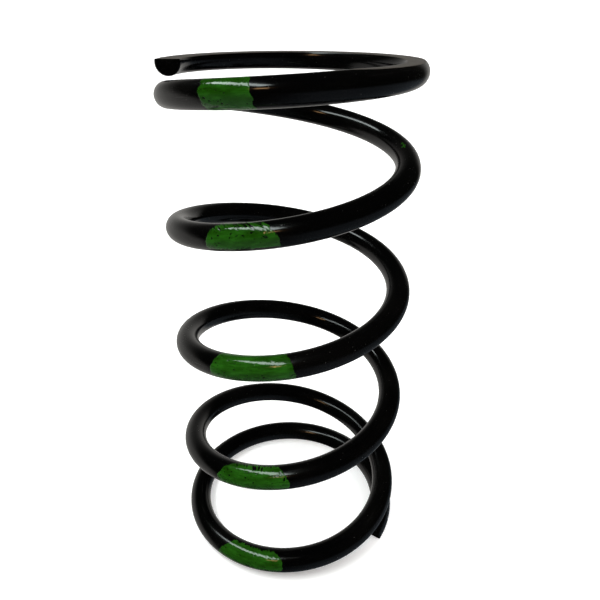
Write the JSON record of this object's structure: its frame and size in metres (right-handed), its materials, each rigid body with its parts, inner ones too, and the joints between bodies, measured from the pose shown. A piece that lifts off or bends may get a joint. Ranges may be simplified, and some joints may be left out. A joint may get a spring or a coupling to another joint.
{
  "type": "coil spring",
  "caption": "Helical compression spring of round black coated wire with closed, flat ground ends and green paint marks down one side.",
  "frame": {"origin": "on the coil axis, in the plane of the lower ground face", "axes": "+Z along the coil axis from the lower end to the upper end; +X towards the side where the lower tip lies, and the paint marks are on the -Y side"},
  "size_m": [0.0786, 0.0788, 0.165],
  "materials": {
    "black_coated_wire": "smooth gloss black coating, satin on the ground faces",
    "green_paint": "hand-brushed gloss green paint with ragged edges"
  },
  "bodies": {
    "bottom_end": {"bottom_end_coil": "black_coated_wire", "bottom_lead_in": "black_coated_wire", "paint_mark_1": "green_paint"},
    "turn_2_front": {"turn_2_front": "black_coated_wire", "paint_mark_2": "green_paint"},
    "turn_2_back": {"turn_2_back": "black_coated_wire"},
    "turn_3_front": {"turn_3_front": "black_coated_wire", "paint_mark_3": "green_paint"},
    "turn_3_back": {"turn_3_back": "black_coated_wire"},
    "turn_4_front": {"turn_4_front": "black_coated_wire", "paint_mark_4": "green_paint"},
    "top_lead_in": {"top_lead_in": "black_coated_wire"},
    "top_end": {"top_end_coil": "black_coated_wire", "paint_mark_5": "green_paint"}
  },
  "joints": [
    {"name": "compression", "type": "hinge", "parent": "bottom_end", "child": "turn_2_front", "pos_m": [-0.03555, 0, 0.03315], "axis": [0, 1, 0], "range_deg": [0, 12], "stiffness_Nm_per_rad": 211},
    {"name": "twist_turn_2_back", "type": "hinge", "parent": "turn_2_front", "child": "turn_2_back", "pos_m": [0.03555, 0, 0.05366], "axis": [0, 1, 0], "range_deg": [-24, 0], "stiffness_Nm_per_rad": 211},
    {"name": "twist_turn_3_front", "type": "hinge", "parent": "turn_2_back", "child": "turn_3_front", "pos_m": [-0.03555, 0, 0.07418], "axis": [0, 1, 0], "range_deg": [0, 24], "stiffness_Nm_per_rad": 211},
    {"name": "twist_turn_3_back", "type": "hinge", "parent": "turn_3_front", "child": "turn_3_back", "pos_m": [0.03555, 0, 0.0947], "axis": [0, 1, 0], "range_deg": [-24, 0], "stiffness_Nm_per_rad": 211},
    {"name": "twist_turn_4_front", "type": "hinge", "parent": "turn_3_back", "child": "turn_4_front", "pos_m": [-0.03555, 0, 0.11521], "axis": [0, 1, 0], "range_deg": [0, 24], "stiffness_Nm_per_rad": 211},
    {"name": "twist_top_lead_in", "type": "hinge", "parent": "turn_4_front", "child": "top_lead_in", "pos_m": [0.03555, 0, 0.13573], "axis": [0, 1, 0], "range_deg": [-24, 0], "stiffness_Nm_per_rad": 211},
    {"name": "twist_top_end", "type": "hinge", "parent": "top_lead_in", "child": "top_end", "pos_m": [-0.03555, 0, 0.15508], "axis": [0, 1, 0], "range_deg": [0, 12], "stiffness_Nm_per_rad": 211}
  ],
  "couplings": [
    {"joint": "twist_turn_2_back", "follows": "compression", "ratio": -2},
    {"joint": "twist_turn_3_front", "follows": "compression", "ratio": 2},
    {"joint": "twist_turn_3_back", "follows": "compression", "ratio": -2},
    {"joint": "twist_turn_4_front", "follows": "compression", "ratio": 2},
    {"joint": "twist_top_lead_in", "follows": "compression", "ratio": -2},
    {"joint": "twist_top_end", "follows": "compression", "ratio": 1}
  ]
}
